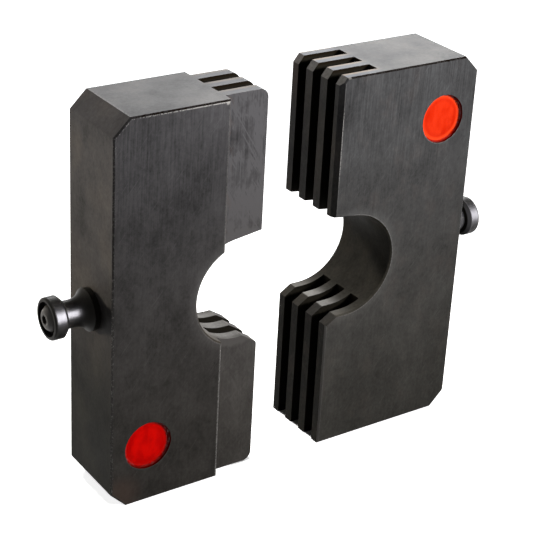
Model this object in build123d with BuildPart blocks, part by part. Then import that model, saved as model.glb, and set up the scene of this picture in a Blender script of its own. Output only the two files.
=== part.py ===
"""A crimp die in two halves whose combs of fins slide into each other as the die closes.

The closing direction runs along X, the crimped tube or cable lies along Y, and Z is up. The origin is
on the ground, midway between the back faces, in the middle of the thickness.
"""

import os
from math import cos, radians, sin, tan

from build123d import *

os.makedirs("parts", exist_ok=True)

# Block sizes shared by both halves
die_height = 120.0
die_thickness = 25.0
root_depth = 35.8  # from the back face to the roots of the comb
back_chamfer = 5.0
edge_break = 0.45

# Comb, and how it runs in the other half's comb
inner_fin_reach = 14.2  # the inner half's fins, measured from their roots
tip_clearance = 0.3  # left between tips and roots when the die is closed
outer_fin_count = 4
outer_fin_thickness = 3.25
fin_side_clearance = 0.15
step_root_radius = 0.55
inner_fin_corner_radius = 2.8
open_gap = 22.7  # between the tips of the two halves as they stand apart

# Crimping bore, half of it in each half
bore_radius = 16.0
upper_lip_flare = 8.0  # degrees, the upper lip opens towards the tip
inner_lead_in_run = 5.0
inner_lead_in_drop = 3.2
inner_lead_in_radius = 1.6
outer_lead_in_run = 3.8
outer_lead_in_drop = 2.4

# Top corner of the outer half's tips, and the bevel along its upper jaw's front edge
tip_chamfer_run = 1.9
tip_chamfer_drop = 2.4
jaw_bevel_depth = 1.5
jaw_bevel_run = 1.1

# Colour mark: a round recess filled with enamel
mark_radius = 7.55
mark_recess_depth = 1.9
mark_from_back = 12.0
mark_from_end = 18.4
mark_film = 0.75
mark_meniscus = 1.0
mark_climb = 0.45
mark_clearance = 0.03

# Retaining stud, turned, held on the back face by its screw
stud_flange_radius = 6.2
stud_flange_rim = 1.7
stud_flare_end = 5.8
stud_neck_radius = 4.0
stud_neck_end = 9.3
stud_head_radius = 6.1
stud_head_chamfer = 0.9
stud_length = 13.6
stud_corner_radius = 0.7
stud_recess_radius = 5.0
stud_recess_depth = 1.6
stud_hole_clearance = 0.25

# Button-head screw, nominal M4
screw_radius = 2.0
screw_head_radius = 3.8
screw_head_edge = 0.4
screw_head_height = 2.2
screw_head_flat_radius = 2.0
screw_dome_bulge = 0.25
screw_socket_flats = 2.5
screw_socket_depth = 1.3
screw_bite = 9.0  # length of thread inside the die
screw_end_chamfer = 0.5
thread_clearance = 0.03
tapped_hole_spare = 2.0

# Sizes that follow from those above
middle = die_height / 2
comb_pitch = (die_thickness - outer_fin_thickness) / (outer_fin_count - 1)
outer_slot_width = comb_pitch - outer_fin_thickness
inner_slot_width = outer_fin_thickness + 2 * fin_side_clearance
step_depth = outer_fin_thickness + fin_side_clearance
outer_fin_reach = inner_fin_reach + tip_clearance
inner_depth = root_depth + inner_fin_reach
outer_depth = root_depth + outer_fin_reach
half_span = (inner_depth + open_gap + outer_depth) / 2

inner_back = -half_span
inner_root = inner_back + root_depth
inner_tip = inner_back + inner_depth
outer_back = half_span
outer_tip = outer_back - outer_depth

# The bore's centre lies half the closed comb's depth from the inner roots, in both halves when closed
bore_from_inner_root = (inner_fin_reach + tip_clearance) / 2
inner_bore_x = inner_root + bore_from_inner_root
outer_bore_x = outer_tip + bore_from_inner_root - tip_clearance

flare = radians(upper_lip_flare)
lower_lip_z = middle - bore_radius


def upper_tangent(bore_x, tip_side):
    """Where the flared upper lip leaves the bore's circle; tip_side is +1 or -1 along X."""
    return (bore_x - tip_side * bore_radius * sin(flare), middle + bore_radius * cos(flare))


def upper_lip_end(tip_x, bore_x, tip_side):
    """Where the flared upper lip meets the tip face."""
    start_x, start_z = upper_tangent(bore_x, tip_side)
    return (tip_x, start_z + abs(tip_x - start_x) * tan(flare))


# Inner half: three fins, set in by a step on each side, that fill the other half's slots
inner_slot_places = [comb_pitch * (i - (outer_fin_count - 3) / 2) for i in range(outer_fin_count - 2)]
step_centre = (die_thickness - step_depth) / 2

with BuildPart() as inner_die:
    with BuildSketch(Plane.XZ) as inner_outline:
        with BuildLine():
            ThreePointArc(
                (inner_bore_x, lower_lip_z),
                (inner_bore_x - bore_radius, middle),
                upper_tangent(inner_bore_x, 1),
            )
            Polyline(
                upper_tangent(inner_bore_x, 1),
                upper_lip_end(inner_tip, inner_bore_x, 1),
                (inner_tip, die_height),
                (inner_back, die_height),
                (inner_back, 0),
                (inner_tip, 0),
                (inner_tip, lower_lip_z - inner_lead_in_drop),
                (inner_tip - inner_lead_in_run, lower_lip_z),
                (inner_bore_x, lower_lip_z),
            )
        make_face()
        chamfer(inner_outline.vertices().group_by(Axis.X)[0], back_chamfer)
        tip_corners = inner_outline.vertices().group_by(Axis.X)[-1].sort_by(Axis.Y)
        fillet([tip_corners[0], tip_corners[-1]], inner_fin_corner_radius)
        fillet(
            inner_outline.vertices().sort_by_distance((inner_tip, lower_lip_z - inner_lead_in_drop))[0],
            inner_lead_in_radius,
        )
    extrude(amount=die_thickness / 2, both=True)
    # A step on the front and one on the back clear the other half's outermost fins
    with Locations(
        (inner_root + inner_fin_reach / 2, -step_centre, middle),
        (inner_root + inner_fin_reach / 2, step_centre, middle),
    ):
        Box(inner_fin_reach, step_depth, die_height, mode=Mode.SUBTRACT)
    step_roots = (
        inner_die.edges()
        .filter_by(Axis.Z)
        .filter_by_position(Axis.X, inner_root - edge_break / 2, inner_root + edge_break / 2)
    )
    step_face_y = die_thickness / 2 - step_depth
    fillet(
        step_roots.filter_by(lambda edge: abs(abs(edge.center().Y) - step_face_y) < edge_break),
        step_root_radius,
    )
    # Broken edges around the two flat faces
    for block_face in (inner_die.faces().sort_by(Axis.Y)[0], inner_die.faces().sort_by(Axis.Y)[-1]):
        chamfer(block_face.edges(), edge_break)
    with Locations(*[(inner_root + inner_fin_reach / 2, y, middle) for y in inner_slot_places]):
        Box(inner_fin_reach, inner_slot_width, die_height, mode=Mode.SUBTRACT)
    # Tapped hole for the stud's screw, and the recess of the colour mark
    with Locations(Location((inner_back, 0, middle), (0, -90, 0))):
        Hole(screw_radius + thread_clearance, depth=screw_bite + tapped_hole_spare)
    with Locations(Location((inner_back + mark_from_back, -die_thickness / 2, mark_from_end), (90, 0, 0))):
        Hole(mark_radius, depth=mark_recess_depth)

# Outer half: four fins flush with the block, with three slots for the inner half's fins
outer_slot_places = [comb_pitch * (i - (outer_fin_count - 2) / 2) for i in range(outer_fin_count - 1)]

with BuildPart() as outer_die:
    with BuildSketch(Plane.XZ) as outer_outline:
        with BuildLine():
            ThreePointArc(
                (outer_bore_x, lower_lip_z),
                (outer_bore_x + bore_radius, middle),
                upper_tangent(outer_bore_x, -1),
            )
            Polyline(
                upper_tangent(outer_bore_x, -1),
                upper_lip_end(outer_tip, outer_bore_x, -1),
                (outer_tip, die_height - tip_chamfer_drop),
                (outer_tip + tip_chamfer_run, die_height),
                (outer_back, die_height),
                (outer_back, 0),
                (outer_tip, 0),
                (outer_tip, lower_lip_z - outer_lead_in_drop),
                (outer_tip + outer_lead_in_run, lower_lip_z),
                (outer_bore_x, lower_lip_z),
            )
        make_face()
        chamfer(outer_outline.vertices().group_by(Axis.X)[-1], back_chamfer)
    extrude(amount=die_thickness / 2, both=True)
    # The wider bevel on the front of the upper jaw's tip
    with BuildSketch(Plane.XY.offset(middle)):
        with BuildLine():
            Polyline(
                (outer_tip, -die_thickness / 2),
                (outer_tip + jaw_bevel_run, -die_thickness / 2),
                (outer_tip, -die_thickness / 2 + jaw_bevel_depth),
                close=True,
            )
        make_face()
    extrude(amount=middle, mode=Mode.SUBTRACT)
    plain_front_edges = outer_die.faces().sort_by(Axis.Y)[0].edges().filter_by(
        lambda edge: not (edge.center().Z > middle and edge.center().X < outer_tip + 2 * jaw_bevel_run
                          and edge.length > 2 * tip_chamfer_drop)
    )
    chamfer(plain_front_edges, edge_break)
    chamfer(outer_die.faces().sort_by(Axis.Y)[-1].edges(), edge_break)
    with Locations(*[(outer_tip + outer_fin_reach / 2, y, middle) for y in outer_slot_places]):
        Box(outer_fin_reach, outer_slot_width, die_height, mode=Mode.SUBTRACT)
    with Locations(Location((outer_back, 0, middle), (0, 90, 0))):
        Hole(screw_radius + thread_clearance, depth=screw_bite + tapped_hole_spare)
    with Locations(
        Location((outer_back - mark_from_back, -die_thickness / 2, die_height - mark_from_end), (90, 0, 0))
    ):
        Hole(mark_radius, depth=mark_recess_depth)

# Colour marks: enamel that fills the recess part way and climbs a little up its wall
mark_surface_y = -die_thickness / 2 + mark_recess_depth - mark_film
mark_places = {
    "inner_colour_mark": (inner_back + mark_from_back, mark_from_end),
    "outer_colour_mark": (outer_back - mark_from_back, die_height - mark_from_end),
}
colour_marks = []
for mark_name, (mark_x, mark_z) in mark_places.items():
    mark_edge_x = mark_x + mark_radius - mark_clearance
    with BuildPart() as colour_mark:
        with BuildSketch(Plane.XY.offset(mark_z)):
            with BuildLine():
                Polyline(
                    (mark_edge_x, mark_surface_y - mark_climb),
                    (mark_edge_x, mark_surface_y + mark_film),
                    (mark_x, mark_surface_y + mark_film),
                    (mark_x, mark_surface_y),
                    (mark_edge_x - mark_meniscus, mark_surface_y),
                )
                TangentArc(
                    (mark_edge_x - mark_meniscus, mark_surface_y),
                    (mark_edge_x, mark_surface_y - mark_climb),
                    tangent=(1, 0),
                )
            make_face()
        revolve(axis=Axis((mark_x, 0, mark_z), (0, 1, 0)))
    colour_mark.part.label = mark_name
    colour_marks.append(colour_mark.part)


def from_back(distance, radius):
    """A point of the inner half's turned parts: distance out of the back face, radius off their axis."""
    return (inner_back - distance, middle + radius)


# Retaining stud: flared foot on the back face, neck, and a head hollowed for its screw
stud_hole_radius = screw_radius + stud_hole_clearance
screw_seat = stud_length - stud_recess_depth

with BuildPart() as inner_stud:
    with BuildSketch(Plane.XZ) as stud_section:
        with BuildLine():
            Polyline(
                from_back(stud_flange_rim, stud_flange_radius),
                from_back(0, stud_flange_radius),
                from_back(0, stud_hole_radius),
                from_back(screw_seat, stud_hole_radius),
                from_back(screw_seat, stud_recess_radius),
                from_back(stud_length, stud_recess_radius),
                from_back(stud_length, stud_head_radius),
                from_back(stud_neck_end + stud_head_chamfer, stud_head_radius),
                from_back(stud_neck_end, stud_head_radius - stud_head_chamfer),
                from_back(stud_neck_end, stud_neck_radius),
                from_back(stud_flare_end, stud_neck_radius),
            )
            TangentArc(
                from_back(stud_flare_end, stud_neck_radius),
                from_back(stud_flange_rim, stud_flange_radius),
                tangent=(1, 0),
            )
        make_face()
        fillet(
            stud_section.vertices().sort_by_distance(from_back(stud_length, stud_head_radius))[0],
            stud_corner_radius,
        )
    revolve(axis=Axis((0, 0, middle), (1, 0, 0)))
inner_stud.part.label = "inner_stud"

# Button-head screw that holds the stud
screw_top = screw_seat + screw_head_height

with BuildPart() as inner_stud_screw:
    with BuildSketch(Plane.XZ):
        with BuildLine():
            Polyline(
                from_back(screw_top, screw_head_flat_radius),
                from_back(screw_top, 0),
                from_back(-screw_bite, 0),
                from_back(-screw_bite, screw_radius - screw_end_chamfer),
                from_back(screw_end_chamfer - screw_bite, screw_radius),
                from_back(screw_seat, screw_radius),
                from_back(screw_seat, screw_head_radius),
                from_back(screw_seat + screw_head_edge, screw_head_radius),
            )
            ThreePointArc(
                from_back(screw_seat + screw_head_edge, screw_head_radius),
                from_back(
                    (screw_seat + screw_head_edge + screw_top) / 2 + screw_dome_bulge,
                    (screw_head_radius + screw_head_flat_radius) / 2 + screw_dome_bulge,
                ),
                from_back(screw_top, screw_head_flat_radius),
            )
        make_face()
    revolve(axis=Axis((0, 0, middle), (1, 0, 0)))
    with BuildSketch(Plane(origin=(inner_back - screw_top, 0, middle), x_dir=(0, 1, 0), z_dir=(-1, 0, 0))):
        RegularPolygon(screw_socket_flats / 2, 6, major_radius=False)
    extrude(amount=-screw_socket_depth, mode=Mode.SUBTRACT)
inner_stud_screw.part.label = "inner_stud_screw"

# The outer half carries the same stud and screw, turned about
with BuildPart() as outer_stud:
    mirror(inner_stud.part, about=Plane.YZ)
outer_stud.part.label = "outer_stud"

with BuildPart() as outer_stud_screw:
    mirror(inner_stud_screw.part, about=Plane.YZ)
outer_stud_screw.part.label = "outer_stud_screw"

inner_die.part.label = "inner_die"
outer_die.part.label = "outer_die"

pieces = [inner_die.part, outer_die.part, inner_stud.part, outer_stud.part]
pieces += [inner_stud_screw.part, outer_stud_screw.part] + colour_marks
for piece in pieces:
    export_step(piece, f"parts/{piece.label}.step")
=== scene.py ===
from math import radians

import bpy
from mathutils import Matrix, Vector

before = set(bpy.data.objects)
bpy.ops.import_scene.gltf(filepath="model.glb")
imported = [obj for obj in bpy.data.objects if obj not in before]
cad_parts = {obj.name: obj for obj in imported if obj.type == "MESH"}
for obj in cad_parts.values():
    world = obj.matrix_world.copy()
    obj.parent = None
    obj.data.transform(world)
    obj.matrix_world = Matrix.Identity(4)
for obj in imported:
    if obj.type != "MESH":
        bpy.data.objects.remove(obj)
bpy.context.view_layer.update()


# Inner die: the left-hand block with three set-in fins. It is tool steel, milled and ground, then
# blackened in hot oxide and oiled, so it is a satin black with faint grinding lines up its flat faces.
# The black has worn off its sharpest edges, where the bare steel shines.

class Field:
    """A value that varies over a surface. Arithmetic on it adds Math nodes to its finish."""

    def __init__(self, finish, socket):
        self.finish, self.socket = finish, socket

    def math(self, operation, first, second=0.0):
        return self.finish.node("Math", {"operation": operation}, {0: first, 1: second})

    def __add__(self, other):
        return self.math("ADD", self, other)

    def __sub__(self, other):
        return self.math("SUBTRACT", self, other)

    def __rsub__(self, other):
        return self.math("SUBTRACT", other, self)

    def __mul__(self, other):
        return self.math("MULTIPLY", self, other)

    __radd__ = __add__
    __rmul__ = __mul__

    def __truediv__(self, other):
        return self.math("DIVIDE", self, other)

    def __abs__(self):
        return self.math("ABSOLUTE", self)

    def fraction(self):
        """What is left of it past a whole number."""
        return self.math("FRACT", self)

    def diagonal(self, other):
        """How far off a point is that lies self one way and other the other way."""
        return self.math("SQRT", self * self + other * other)

    def least(self, *others):
        low = self
        for other in others:
            low = self.math("MINIMUM", low, other)
        return low

    def above(self, low, high):
        """0 below low and 1 above high, with a smooth step between; the other way round if high is lower."""
        stops = {"Value": self, "From Min": low, "From Max": high}
        return self.finish.node("MapRange", {"interpolation_type": "SMOOTHSTEP"}, stops)


class Finish:
    """A material, or a world, built up node by node."""

    def __init__(self, name, kept_in=bpy.data.materials, shader="Principled BSDF"):
        self.material = kept_in.new(name)
        self.material.use_nodes = True
        self.tree = self.material.node_tree
        self.shader = self.tree.nodes[shader]
        self.place = self.node("TexCoord", {}, {}, "Object")

    def node(self, kind, settings, sockets, output=0):
        """Adds a node: its type, its settings, what its sockets hold, and the output that is used."""
        made = self.tree.nodes.new("ShaderNode" + kind)
        for name, value in settings.items():
            setattr(made, name, value)
        for name, value in sockets.items():
            self.feed(made.inputs[name], value)
        return Field(self, made.outputs[output])

    def feed(self, socket, value):
        if isinstance(value, Field):
            self.tree.links.new(value.socket, socket)
        else:
            socket.default_value = value

    def parts(self, vector):
        """The x, y and z of a vector, as three fields."""
        return [self.node("SeparateXYZ", {}, {0: vector}, axis) for axis in "XYZ"]

    def noise(self, period, detail=3.0, roughness=0.5, shift=0.0, turn=(0, 0, 0)):
        """Cloudy noise from 0 to 1. Its blotches measure about period, in metres along x, y and z, and
        turn tilts them about those axes, in degrees. shift moves them."""
        where = self.node("Mapping", {"vector_type": "TEXTURE"}, {
            "Vector": self.place, "Location": (shift, shift, shift),
            "Rotation": [radians(angle) for angle in turn], "Scale": period})
        return self.node("TexNoise", {}, {"Vector": where, "Scale": 1.0, "Detail": detail,
                                          "Roughness": roughness})

    def blend(self, share, first, second):
        """A colour that goes from first to second as share goes from 0 to 1."""
        return self.node("Mix", {"data_type": "RGBA"}, {0: share, 6: first, 7: second}, 2)

    def tinted(self, share, colour, tint):
        """The colour, multiplied by tint as share goes from 0 to 1."""
        sockets = {0: share, 6: colour, 7: tint}
        return self.node("Mix", {"data_type": "RGBA", "blend_type": "MULTIPLY"}, sockets, 2)

    def in_view(self):
        """1 where the eye sees it, straight or in a reflection, and 0 where it only lights something."""
        seen, mirrored, through = [self.node("LightPath", {}, {}, ray + " Ray")
                                   for ray in ("Is Camera", "Is Glossy", "Is Transmission")]
        return seen + mirrored + through

    def set(self, **sockets):
        for name, value in sockets.items():
            self.feed(self.shader.inputs[name.replace("_", " ")], value)

    def relief(self, height, depth):
        """Raises the surface by depth, in metres, where height is 1."""
        self.set(Normal=self.node("Bump", {}, {"Height": height, "Distance": depth, "Strength": 1.0}))

    def give(self, *nodes):
        """Puts the finish on CAD nodes."""
        for name in nodes:
            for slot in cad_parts[name].material_slots:
                slot.material = self.material


# Sizes that both halves share, in metres. Those along x are measured from midway between the backs
middle_height = 0.06
half_thickness = 0.0125
back_face = 0.0615
back_chamfer = 0.005
edge_break = 0.00045
comb_root = 0.0257
comb_pitch = 0.00725
bore_radius = 0.016
mark_out = 0.0495
mark_radius = 0.00755
inner_mark_height, outer_mark_height = 0.0184, 0.1016

white = (1, 1, 1, 1)
black = (0, 0, 0, 1)
deep_black = (0.014, 0.0138, 0.0137, 1)
painted_edge_black = (0.006, 0.004, 0.003, 1)
rust_brown = (0.075, 0.05, 0.04, 1)
bare_steel = (0.34, 0.325, 0.31, 1)


def blackened_steel(name, seed, paleness, streaks, top_wear, slots_within, first_fin, bore_centre,
                    mark_height):
    """Ground and blackened tool steel for a die half. seed moves the pattern, so that no two halves
    match, paleness is how thin the black is, streaks how strong the grinding lines are and top_wear how
    worn the fins' tops. The slots lie within slots_within of the middle of the thickness, first_fin is
    the middle of a fin, and bore_centre is how far out the bore's centre is."""
    steel = Finish(name)
    x, y, z = steel.parts(steel.place)
    out, off_middle = abs(x), z - middle_height
    facing = steel.node("TexCoord", {}, {}, "Normal")
    across, through, up = [abs(part) for part in steel.parts(facing)]
    steel.out, steel.back, steel.height, steel.across, steel.up = out, y, z, across, up

    # The ground faces, the sides and ends of the slots, the tops and the bore
    flat, endways, top = through.above(0.9, 0.98), across.above(0.9, 0.98), up.above(0.9, 0.98)
    front = flat * abs(y).above(half_thickness - 0.0004, half_thickness - 0.0001)
    in_comb = abs(y).above(slots_within + 0.0002, slots_within)
    slot_side = flat * in_comb
    past_root = out - comb_root
    at_root = past_root.above(-0.0008, -0.0005) * past_root.above(0.0009, 0.0006)
    from_bore = (out - bore_centre).diagonal(off_middle) - bore_radius
    broken_edge = through.above(0.3, 0.45) * through.above(0.9, 0.8) * across.above(0.78, 0.75)
    steel.flat, steel.endways, steel.top, steel.front, steel.from_bore = flat, endways, top, front, from_bore
    steel.fin_side = flat - front - slot_side
    steel.slot = slot_side + endways * in_comb * at_root
    steel.broken_edge = broken_edge * from_bore.above(0.0005, 0.001)
    steel.in_bore = (1.0 - flat) * from_bore.above(0.0006, 0.0003)
    steel.lip = steel.in_bore * z.above(0.056, 0.052) * (0.15 + 0.85 * abs(y).above(0.0085, 0.007))
    steel.fin_top = top * out.above(0.0275, 0.0225) * z.above(0.118, 0.119) * top_wear
    across_fin = ((y - first_fin) / comb_pitch + 0.5).fraction()
    steel.far_edge = steel.fin_top * across_fin.above(0.5, 0.7)

    # The mark's recess, where red runs up its wall, and its lower rim, painted paler: a painted catch-light
    above_mark = z - mark_height
    around_mark = (out - mark_out).diagonal(above_mark)
    steel.mark_wall = (1.0 - flat) * around_mark.above(mark_radius + 0.00035, mark_radius + 0.00015)
    steel.mark_edge = around_mark.above(mark_radius + 0.00035, mark_radius + 0.00005)
    steel.mark_edge = steel.mark_edge * above_mark.above(-0.001, -0.005) * y.above(0, -0.001)

    # How thin the black is: in clouds and grains, and along the lines of the grinding
    clouds = steel.noise((0.016, 0.016, 0.022), 4.0, 0.6, seed)
    patches = steel.noise((0.005, 0.005, 0.007), 3.0, 0.65, seed + 0.3)
    grain = steel.noise((0.0009, 0.0009, 0.0012), 3.0, 0.75, seed + 0.6)
    lines = steel.noise((0.0006, 0.004, 0.014), 3.0, 0.65, seed, (0, 1.5, 0)) - 0.5
    hairlines = steel.noise((0.0003, 0.003, 0.008), 1.0, 0.5, seed + 0.2, (0, 38, 0)).above(0.64, 0.78)
    line_depth = streaks * (0.3 + 0.4 * z.above(0.03, 0.12) + 0.9 * z.above(0.08, 0.115)) * patches
    tone = paleness + (0.9 + 0.35 * top) * (clouds - 0.5) + 0.5 * (patches - 0.5) + 0.6 * (grain - 0.5)
    tone = tone + flat * (line_depth * lines + 0.25 * hairlines)
    # The front face is made paler near the bore
    steel.tone = tone + front * 0.35 * from_bore.above(0.004, 0.0)
    steel.clouds, steel.patches, steel.grain, steel.lines = clouds, patches, grain, lines
    steel.speckle = steel.noise((0.0005, 0.0005, 0.0006), 2.0, 0.6, seed + 0.8)
    return steel


def lay_black(steel, thin_black, tone, browned, bare):
    """Colours the steel: thin_black where tone is 1, brown where browned is 1, bare steel where bare is 1."""
    colour = steel.blend(tone, deep_black, thin_black)
    # Off the ground faces the colour turns browner in clouds; it is warmer low down, bluer high up and
    # browner in the bore
    unground = steel.clouds.above(0.42, 0.62) * (1.0 - steel.flat)
    colour = steel.tinted(1.0, colour, steel.blend(unground, (1.0, 0.99, 0.98, 1), (1.06, 1.0, 0.92, 1)))
    upwards = steel.height.above(0.0, 2 * middle_height)
    colour = steel.tinted(1.0, colour, steel.blend(upwards, (1.07, 1.0, 0.9, 1), (0.99, 0.975, 1.01, 1)))
    # Painted shade: faces that face along x are darkened low down
    colour = steel.tinted(steel.endways * steel.height.above(0.055, 0.03), colour, (0.89, 0.9, 0.8, 1))
    colour = steel.tinted(steel.in_bore, colour, (1.0, 0.97, 0.87, 1))
    # The fins' tops are rubbed blue-grey, and straw brown along their far edges
    colour = steel.blend(0.1 * steel.fin_top, colour, (0.36, 0.41, 0.55, 1))
    colour = steel.blend(0.22 * steel.far_edge, colour, (0.6, 0.36, 0.13, 1))
    colour = steel.blend(browned, colour, rust_brown)
    # The slots are painted near black, a painted shade, and the broken edges dark, a painted dark reflection
    slot_top = steel.height.above(0.1185, 0.12)
    slot_shade_black = steel.blend(slot_top, (0.012, 0.0105, 0.008, 1), (0.008, 0.005, 0.0025, 1))
    colour = steel.blend(steel.slot, colour, slot_shade_black)
    # Painted dark reflection on the edge breaks, most where they face up, in specks
    edge_dark_reflection = 0.2 + 0.4 * steel.up.above(0.6, 0.68) * (1.0 + steel.speckle.above(0.4, 0.55))
    colour = steel.blend(steel.broken_edge * edge_dark_reflection, colour, painted_edge_black)
    colour = steel.blend(steel.mark_wall, colour, (0.09, 0.005, 0.002, 1))
    colour = steel.blend(bare, colour, bare_steel)
    steel.set(Base_Color=colour, Roughness=0.52 - 0.14 * steel.clouds - 0.1 * bare, IOR=1.5)
    steel.shader.inputs["Specular IOR Level"].default_value = 0.02
    steel.relief(steel.flat * steel.lines + 0.5 * steel.grain, 0.00003)


steel = blackened_steel("inner_die_steel", seed=0.0, paleness=0.35, streaks=1.2, top_wear=0.4,
                        slots_within=0.006, first_fin=0.0, bore_centre=0.01845, mark_height=inner_mark_height)
patches, speckle = steel.patches, steel.speckle
upper_fins = steel.height.above(0.05, 0.085)

# The fins' sides are scratched and rubbed by the other comb, the upper ones most
scratches = steel.noise((0.0006, 0.004, 0.009), 2.0, 0.6, 0.2, (0, -27, 0)) - 0.5
long_scratches = steel.noise((0.0009, 0.004, 0.02), 1.0, 0.5, 0.4, (0, -32, 0)).above(0.62, 0.7)
waves = abs(steel.noise((0.0022, 0.004, 0.008), 1.5, 0.5, 0.5, (0, -20, 0)) - 0.5).above(0.06, 0.0)
marked = 1.3 * scratches * patches.above(0.4, 0.6) + 0.3 * long_scratches
marked = marked + 0.3 * waves * patches.above(0.45, 0.6) + 1.4 * steel.lines * patches
marked = 0.37 + 0.18 * upper_fins + (0.25 + 1.2 * upper_fins) * marked + 1.3 * upper_fins * (patches - 0.5)
# The fins' sides are made paler near the bore
marked = marked + 0.9 * steel.from_bore.above(0.0035, 0.0)
rust = steel.fin_side * upper_fins * steel.out.above(0.0215, 0.0255) * waves
# Painted reflection: a warm brown glow low on the front face near the back corner
warm_reflection = steel.front * (steel.out - 0.0585).diagonal(steel.height - 0.004).above(0.0085, 0.002)

# Painted light: the ground face is made paler towards its top, and the back corner's chamfer paler too
painted_light_top = 0.24 * steel.front * steel.height.above(0.09, 0.118)
painted_light_top = painted_light_top + 0.29 * steel.up.above(0.6, 0.68) * steel.up.above(0.85, 0.75)

# Bare steel shows in specks along the face's rim, most along its top, and at the step above the fins
from_back = back_face - steel.out
from_end = middle_height - abs(steel.height - middle_height)
rim = from_back.least(from_end, 0.7071 * (from_back + from_end - back_chamfer))
top_rim = steel.height.above(0.1, 0.119) * (0.3 + 0.7 * steel.out.above(0.06, 0.032))
low_rim = 0.35 * steel.height.above(0.08, 0.04)
specks = rim.above(2 * edge_break, 0.00055) * (speckle + 0.27 * top_rim + 0.1 * low_rim).above(0.6, 0.72)
step_rim = (steel.out - comb_root - edge_break).least(steel.from_bore - edge_break)
step_line = step_rim.above(edge_break, 0.0001) * (0.12 + 0.3 * steel.height.above(0.05, 0.03))
chipped = (steel.out - 0.0268).diagonal(steel.height - 0.1191).above(0.0007, 0.0002)
arc_wear = steel.from_bore.above(0.0008, 0.0) * steel.height.above(0.053, 0.047) * speckle.above(0.35, 0.6)
rubbed_edge = steel.broken_edge * steel.across.above(0.6, 0.68) * (1.0 - 0.75 * upper_fins)
rubbed_edge = rubbed_edge * (0.25 + 0.7 * speckle.above(0.5, 0.68))
top_edge = steel.top * steel.out.above(0.0557, 0.0563) * speckle.above(0.35, 0.6)
bare = specks * (0.25 + 0.75 * top_rim) + step_line * speckle.above(0.3, 0.6)
# With a painted catch-light on the mark's lower rim
bare = bare + 0.08 * steel.mark_edge + 0.8 * chipped + 0.4 * arc_wear
bare = steel.front * bare + rubbed_edge + 0.15 * top_edge + 0.22 * steel.lip * (0.3 + steel.grain)

lay_black(steel, (0.0755, 0.0745, 0.076, 1), tone=steel.tone + steel.fin_side * marked + painted_light_top,
          browned=0.6 * warm_reflection + 0.5 * rust, bare=bare)
steel.give("inner_die")


# Outer die: the right-hand block, with four fins flush with its faces. It is the same blackened
# tool steel as the inner die, and rubbed brighter on the edges of its jaws.

steel = blackened_steel("outer_die_steel", seed=3.7, paleness=0.53, streaks=1.5, top_wear=1.0,
                        slots_within=0.0096, first_fin=comb_pitch / 2, bore_centre=0.01815,
                        mark_height=outer_mark_height)
upper_jaw = steel.height.above(0.07, 0.075)
# Painted shade: the faces of the lower jaw's tips are made darker
shaded_low_tip = steel.endways * steel.out.above(0.0123, 0.0121) * steel.height.above(0.06, 0.045)
near_tip = steel.out.above(0.0145, 0.014)

# The rearmost fin's tip is browned
rear_tip = steel.back.above(0.0088, 0.0092) * steel.across.above(0.5, 0.6) * steel.height.above(0.1, 0.116)
browned = 0.1 * steel.patches.above(0.5, 0.7) + 0.4 * rear_tip * near_tip

# Bare steel shows along the edge of the tip's face, round the bore and on the lips and corners
tip_line = (steel.out - 0.0117 - 0.0006 * upper_jaw).above(0.0004, 0.0001)
tip_line = tip_line * (0.1 + 0.5 * steel.height.above(0.084, 0.094) * steel.height.above(0.112, 0.106))
bore_line = 0.32 * (steel.from_bore - edge_break).above(0.0003, 0.0001)
# Bare steel on the lips, with a painted highlight that is strongest near their tips
worn_and_lit_lip = steel.lip * steel.out.above(0.023, 0.0175) * (0.4 + steel.grain)
jaw_edge = steel.broken_edge * steel.across.above(0.6, 0.68) * (1.0 - upper_jaw)
worn_tip = steel.up.above(0.5, 0.6) * steel.up.above(0.9, 0.8) * steel.height.above(0.116, 0.1175)
# With a painted catch-light on the mark's lower rim
bare = steel.front * (tip_line + bore_line + 0.3 * steel.mark_edge) * steel.speckle.above(0.3, 0.6)
bare = bare + 0.32 * worn_and_lit_lip + 0.35 * jaw_edge + 0.6 * worn_tip * near_tip * steel.grain

lay_black(steel, (0.0745, 0.0762, 0.0765, 1), tone=steel.tone - 0.5 * shaded_low_tip, browned=browned, bare=bare)
steel.give("outer_die")


# Retaining studs: one on each back face, turned from steel bar, with a flared foot, a neck and a
# hollowed head. They are blackened and oiled to a gloss, and the outer one's neck has dried.

stud_black = Finish("stud_black")
turning = stud_black.noise((0.0006, 0.004, 0.004), 2.0, 0.6) - 0.5
oil = stud_black.noise((0.004, 0.004, 0.004), 3.0, 0.6)
x, y, z = stud_black.parts(stud_black.place)
outer_one = x.above(0.0, 0.01)
dry_neck = outer_one * x.above(0.0721, 0.0717)
stud_black.set(Base_Color=stud_black.blend(oil, (0.006, 0.0055, 0.0045, 1), (0.02, 0.018, 0.015, 1)),
               Roughness=0.32 + 0.1 * oil + 0.12 * outer_one + 0.4 * dry_neck)
stud_black.shader.inputs["Specular IOR Level"].default_value = 0.05
stud_black.relief(turning, 0.00002)
stud_black.give("inner_stud", "outer_stud")


# Stud screws: a button-head screw with a hex socket holds each stud. Their black is thinner than
# the studs' and shows grey.

screw_grey = Finish("screw_grey")
wear = screw_grey.noise((0.0012, 0.0012, 0.0012), 3.0, 0.6)
screw_grey.set(Base_Color=screw_grey.blend(wear, (0.03, 0.027, 0.024, 1), (0.06, 0.056, 0.051, 1)),
               Roughness=0.4 + 0.1 * wear)
screw_grey.shader.inputs["Specular IOR Level"].default_value = 0.2
screw_grey.relief(wear, 0.00002)
screw_grey.give("inner_stud_screw", "outer_stud_screw")


# Colour marks: red enamel poured into a round recess in each front face, glossy, and drawn up a
# little at its rim. They show which way round the halves go, the outer half's in a lighter red.

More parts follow.
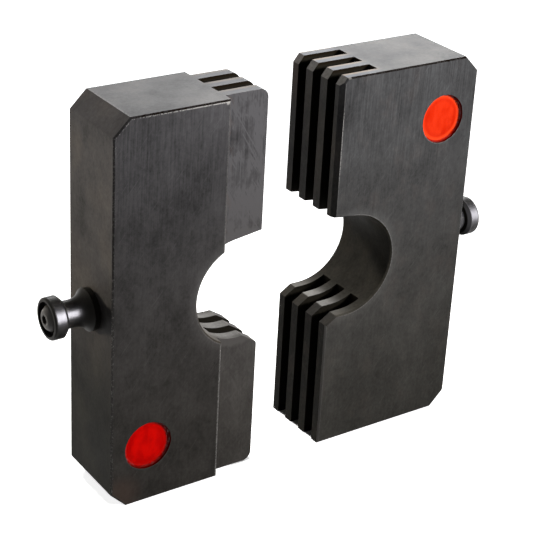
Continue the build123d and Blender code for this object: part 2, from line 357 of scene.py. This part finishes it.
def enamel(name, centre_x, centre_z, red, thin_red, edge_red, wall_red):
    """Enamel about a centre: red, thin_red where it is streaky, edge_red in a ring where it starts to climb
    the recess's wall, a painted highlight where it is lighter than red, and wall_red on the wall. A ring
    inside the rim is made duller."""
    paint = Finish(name)
    x, y, z = paint.parts(paint.place)
    radius = (x - centre_x).diagonal(z - centre_z)
    streaks = paint.noise((0.003, 0.004, 0.005), 3.0, 0.55)
    colour = paint.blend(streaks.above(0.35, 0.7), red, thin_red)
    brushed = radius + 0.0016 * (streaks - 0.5)
    ring = brushed.above(0.0044, 0.0054) * brushed.above(0.0066, 0.0056)
    colour = paint.tinted(ring, colour, (0.9, 0.8, 0.8, 1))
    colour = paint.blend(0.8 * radius.above(0.0058, 0.0066), colour, edge_red)
    colour = paint.blend(radius.above(0.0068, 0.0073), colour, wall_red)
    drops = paint.noise((0.0006, 0.0006, 0.0006), 1.0).above(0.5, 0.7)
    paint.set(Base_Color=colour, Roughness=0.16 + 0.1 * streaks,
              Coat_Weight=0.6 * drops * radius.above(0.0064, 0.0068))
    paint.shader.inputs["Specular IOR Level"].default_value = 0.02
    paint.relief(streaks, 0.00012)
    return paint


enamel("deep_red_enamel", -mark_out, inner_mark_height, (0.6, 0.0003, 0.0002, 1), (0.78, 0.0025, 0.0008, 1),
       (0.5, 0.0025, 0.0012, 1), (0.17, 0.0017, 0.0008, 1)).give("inner_colour_mark")
# The outer mark's edge_red is lighter than its red, a painted highlight along the rim
enamel("light_red_enamel", mark_out, outer_mark_height, (0.58, 0.026, 0.005, 1), (0.5, 0.016, 0.002, 1),
       (0.68, 0.045, 0.009, 1), (0.2, 0.004, 0.001, 1)).give("outer_colour_mark")


# Photographer's table: a plain pale floor that reaches past the view on all sides. To the eye and in
# reflections it is white, and it keeps the soft shadow of the die. Between the outer fins, where they stand
# at rest, its glow is taken away: a painted shade, so that it shows dark there.

reach = 9
floor_mesh = bpy.data.meshes.new("floor")
floor_mesh.from_pydata([(-reach, -reach, 0), (reach, -reach, 0), (reach, reach, 0), (-reach, reach, 0)],
                       [], [(0, 1, 2, 3)])
floor = bpy.data.objects.new("floor", floor_mesh)
bpy.context.scene.collection.objects.link(floor)

pale = Finish("pale_floor")
x, y, z = pale.parts(pale.place)
glow = pale.blend(x.diagonal(y).above(0.3, 0.9), (0.86, 0.86, 0.86, 1), white)
# Painted shade: no glow between the outer fins at rest, so the floor shows dark there
shade_between_fins = abs(x).above(0.0113, 0.0118) * abs(x).above(0.022, 0.0155) * abs(y).above(0.0098, 0.0094)
glow = pale.blend(shade_between_fins, glow, black)
pale.set(Base_Color=pale.blend(pale.in_view(), (0.2, 0.2, 0.2, 1), white), Roughness=1.0,
         Emission_Color=pale.blend(pale.in_view(), black, glow))
pale.shader.inputs["Emission Strength"].default_value = 1.0
pale.shader.inputs["Specular IOR Level"].default_value = 0.0
floor_mesh.materials.append(pale.material)


# Studio light: soft boxes around the die, and a dim room. The back box lights the tops, the rear and
# left ones the bore and the left-hand back face, and the front ones the front faces, which get less
# light towards the floor.

def soft_box(name, place, aim, width, height, watts, spread=180, colour=(1, 1, 1), mirrored=True):
    """An area light at place that faces aim. spread is how wide its grid lets the light out, in degrees,
    and mirrored is whether it shows in reflections."""
    lamp = bpy.data.lights.new(name, "AREA")
    lamp.shape = "RECTANGLE"
    lamp.size, lamp.size_y, lamp.energy, lamp.color = width, height, watts, colour
    lamp.spread = radians(spread)
    holder = bpy.data.objects.new(name, lamp)
    holder.location = place
    holder.rotation_euler = (Vector(aim) - Vector(place)).to_track_quat("-Z", "Y").to_euler()
    holder.visible_camera = False
    holder.visible_glossy = mirrored
    bpy.context.scene.collection.objects.link(holder)
    return holder


soft_box("back_box", (0.60, 0.82, 0.42), (0, 0, 0.12), 0.5, 0.3, 10.2)
soft_box("rear_high_box", (-0.12, 0.6, 0.6), (0.02, 0, 0.04), 0.15, 0.15, 0.13, 25, (1, 0.98, 0.94), False)
soft_box("rear_left_box", (-0.3, 0.5, 0.04), (-0.075, 0, 0.105), 0.08, 0.08, 0.102, 13, (1, 0.93, 0.8), False)
soft_box("left_box", (-0.5, 0.04, 0.26), (-0.06, 0, 0.19), 0.12, 0.12, 0.017, 26, mirrored=False)
soft_box("front_high_box", (0.35, -0.5, 0.33), (0.02, 0, 0.18), 0.2, 0.1, 0.375, 33, mirrored=False)
soft_box("front_low_box", (0.35, -0.5, 0.3), (0.02, 0, 0.05), 0.2, 0.1, 0.132, 40, mirrored=False)
# This one only puts a highlight on the studs
glint_box = soft_box("glint_box", (0.36, -0.6, 0.3), (0, 0, 0.06), 0.45, 0.55, 310, colour=(0.94, 0.92, 1))
glint_box.visible_diffuse = False
polished = bpy.data.collections.new("polished")
for name in ("inner_stud", "outer_stud"):
    polished.objects.link(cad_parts[name])
glint_box.light_linking.receiver_collection = polished

room = Finish("room", bpy.data.worlds, "Background")
room.set(Color=room.blend(room.in_view(), (0.05, 0.05, 0.05, 1), white))
bpy.context.scene.world = room.material


# Camera: at the photograph's angle, a little above the die and to its left. Its place, its turn and its
# lens are those that bring the die's corners onto the photograph's.

photo_width = 540
focal_pixels = 1585.15
centre_pixels = (285.0, 240.0)
eye = Vector((-0.245086, -0.346594, 0.266998))
forward = Vector((0.52736085, 0.73562719, -0.42513900))
right = Vector((0.82582968, -0.56142894, 0.05294234))

lens = bpy.data.cameras.new("photo_camera")
lens.sensor_width = 36.0
lens.lens = focal_pixels * lens.sensor_width / photo_width
lens.shift_x = (photo_width / 2 - centre_pixels[0]) / photo_width
lens.shift_y = (centre_pixels[1] - photo_width / 2) / photo_width
lens.clip_start, lens.clip_end = 0.01, 30
camera = bpy.data.objects.new("photo_camera", lens)
turn = Matrix((right, right.cross(forward), -forward)).transposed()
camera.matrix_world = Matrix.Translation(eye) @ turn.to_4x4()
bpy.context.scene.collection.objects.link(camera)
bpy.context.scene.camera = camera
bpy.context.scene.view_settings.view_transform = "Standard"
